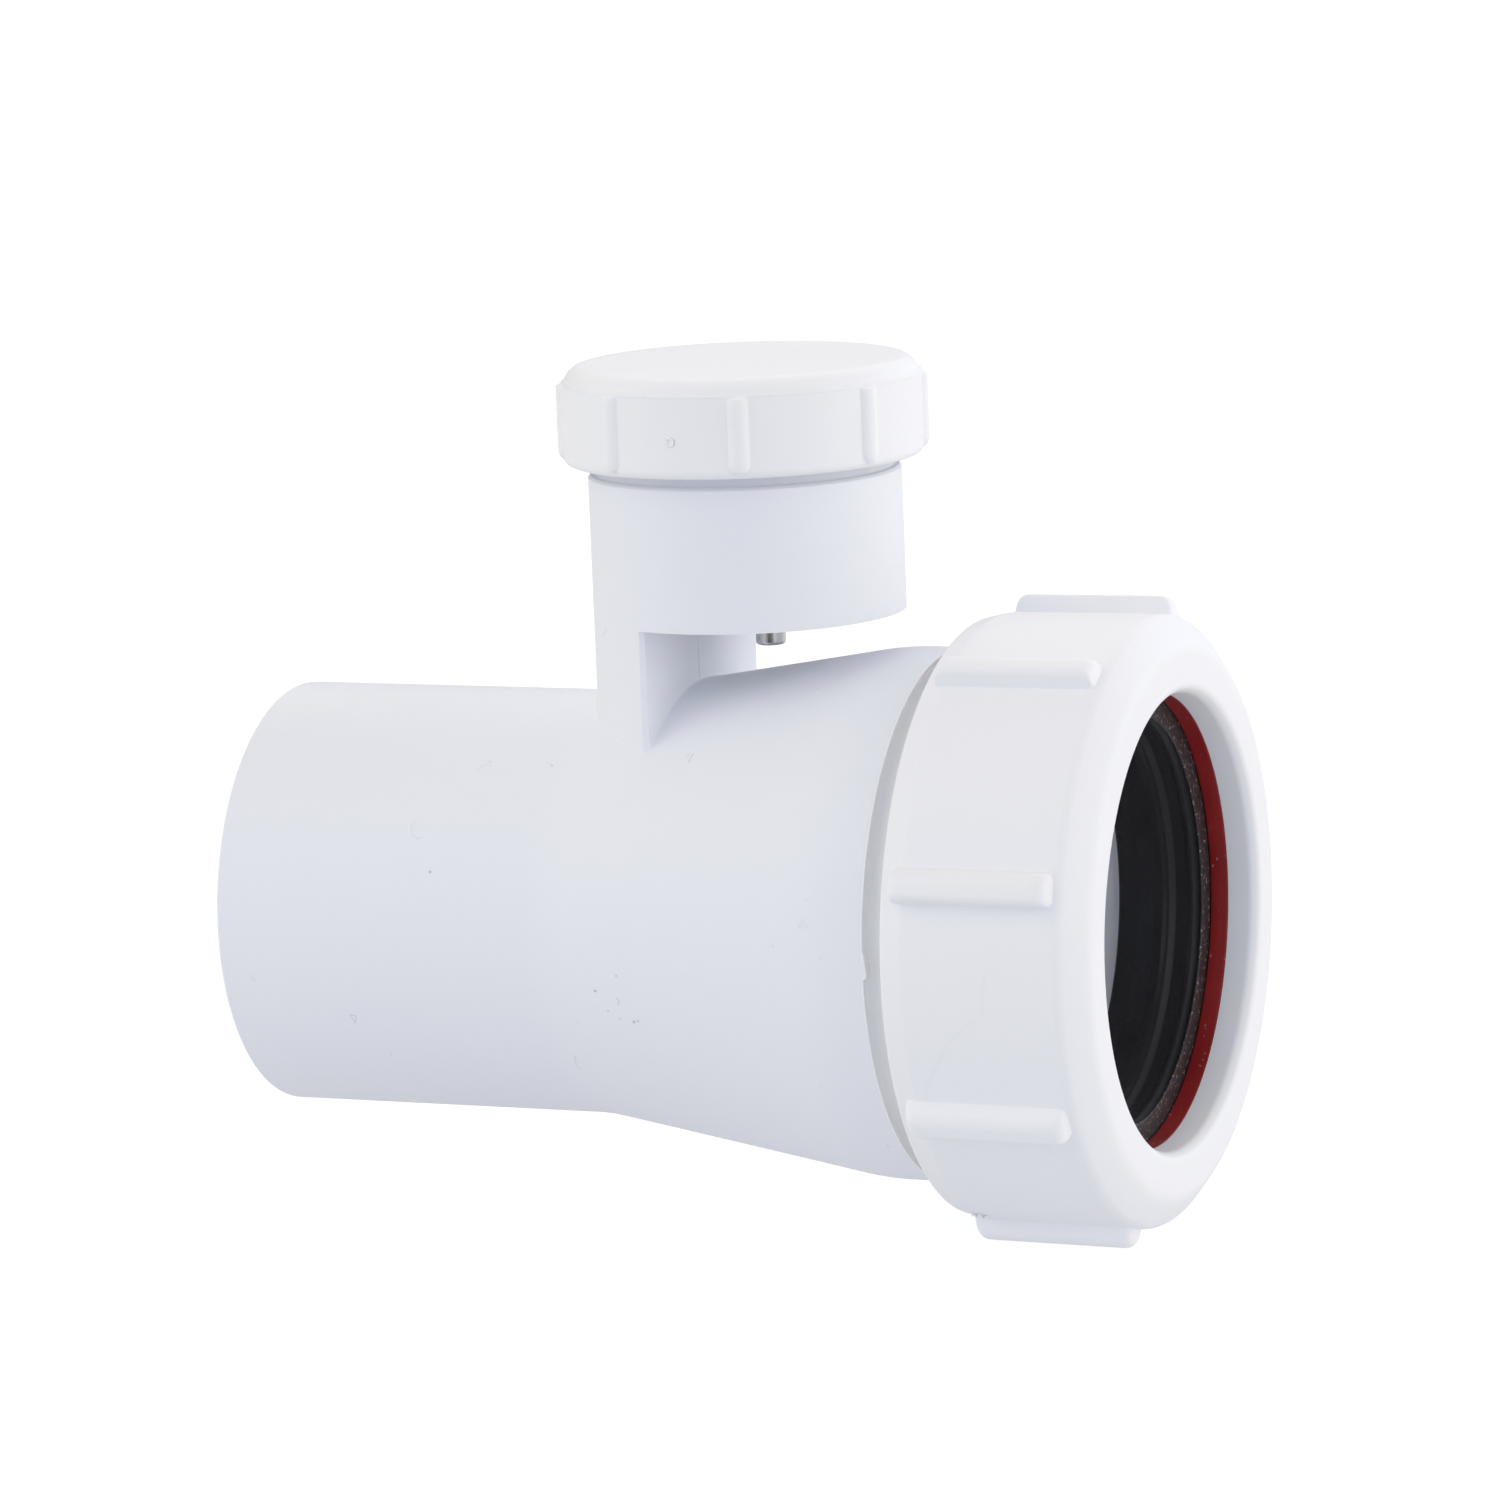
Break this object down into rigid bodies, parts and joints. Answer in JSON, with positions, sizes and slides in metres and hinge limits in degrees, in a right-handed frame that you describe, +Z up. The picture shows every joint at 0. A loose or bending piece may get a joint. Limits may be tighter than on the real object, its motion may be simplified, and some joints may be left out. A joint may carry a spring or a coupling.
{
  "type": "anti-siphon adapter",
  "caption": "White in-line waste pipe adapter with a plain spigot, a compression socket with nut, slip ring and rubber seal, and a capped air valve on a side duct.",
  "frame": {"origin": "on the pipe axis, at the end of the plain spigot", "axes": "+X along the pipe from the spigot to the compression nut, +Z up through the air valve, +Y completes the right-handed set"},
  "size_m": [0.0913, 0.0598, 0.0828],
  "materials": {
    "body_plastic": "satin moulded polypropylene, bluish white",
    "nut_plastic": "satin moulded polypropylene, white",
    "cap_plastic": "satin moulded polypropylene, white",
    "red_plastic": "moulded polyethylene, dark red",
    "seal_rubber": "moulded rubber, slightly dusty",
    "washer_rubber": "moulded rubber",
    "disc_plastic": "moulded polypropylene, white",
    "valve_rubber": "soft moulded rubber",
    "pin_steel": "turned stainless steel"
  },
  "bodies": {
    "main_body": {"body": "body_plastic", "pipe_seal": "seal_rubber"},
    "ring_carriage": {"slip_ring": "red_plastic"},
    "nut": {"compression_nut": "nut_plastic"},
    "washer_carriage": {"cap_washer": "washer_rubber"},
    "cap": {"valve_cap": "cap_plastic"},
    "valve": {"valve_disc": "disc_plastic", "valve_rubber": "valve_rubber", "guide_pin": "pin_steel"}
  },
  "joints": [
    {"name": "nut_advance", "type": "slide", "parent": "main_body", "child": "ring_carriage", "axis": [1, 0, 0], "range_m": [0, 0.0091]},
    {"name": "nut_turn", "type": "hinge", "parent": "ring_carriage", "child": "nut", "pos_m": [0.08, 0, 0], "axis": [1, 0, 0], "range_deg": [0, 1080]},
    {"name": "cap_lift", "type": "slide", "parent": "main_body", "child": "washer_carriage", "axis": [0, 0, 1], "range_m": [0, 0.0051]},
    {"name": "cap_turn", "type": "hinge", "parent": "washer_carriage", "child": "cap", "pos_m": [0.0483, 0, 0.048], "axis": [0, 0, 1], "range_deg": [0, 900]},
    {"name": "valve_lift", "type": "slide", "parent": "main_body", "child": "valve", "axis": [0, 0, 1], "range_m": [0, 0.0035]}
  ],
  "couplings": [
    {"joint": "nut_advance", "follows": "nut_turn", "m_per_rad": 0.00047746},
    {"joint": "cap_lift", "follows": "cap_turn", "m_per_rad": 0.00031831}
  ]
}
